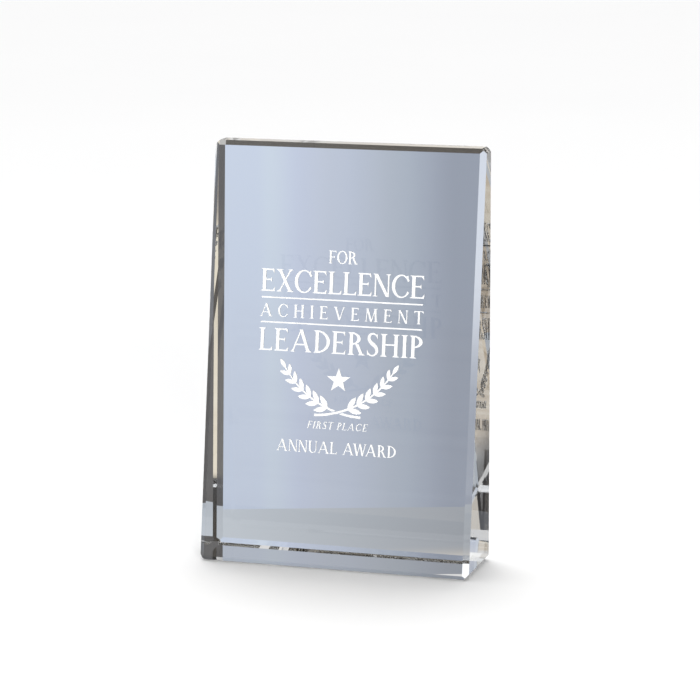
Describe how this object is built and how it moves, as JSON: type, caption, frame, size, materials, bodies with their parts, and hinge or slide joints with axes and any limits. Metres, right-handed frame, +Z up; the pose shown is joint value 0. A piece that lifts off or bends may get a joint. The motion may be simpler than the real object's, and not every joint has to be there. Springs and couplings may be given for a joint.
{
  "type": "crystal award",
  "caption": "Free-standing wedge of clear bevelled crystal with a white enamel-filled inscription, laurel branches and a star on its leaning front face.",
  "frame": {"origin": "middle of the base, on the surface that the block stands on", "axes": "+Z up, +X to the right as the inscription is read, +Y to the back (the inscription faces -Y)"},
  "size_m": [0.1022, 0.0324, 0.1524],
  "materials": {
    "crystal": "polished optical crystal",
    "enamel": "white enamel filling in sandblasted pockets"
  },
  "bodies": {
    "root": {"crystal_block": "crystal", "small_line_fill": "enamel", "upper_title_fill": "enamel", "upper_rule_fill": "enamel", "spaced_line_fill": "enamel", "lower_rule_fill": "enamel", "lower_title_fill": "enamel", "laurel_left_fill": "enamel", "laurel_right_fill": "enamel", "star_fill": "enamel", "italic_line_fill": "enamel", "last_line_fill": "enamel"}
  },
  "joints": []
}
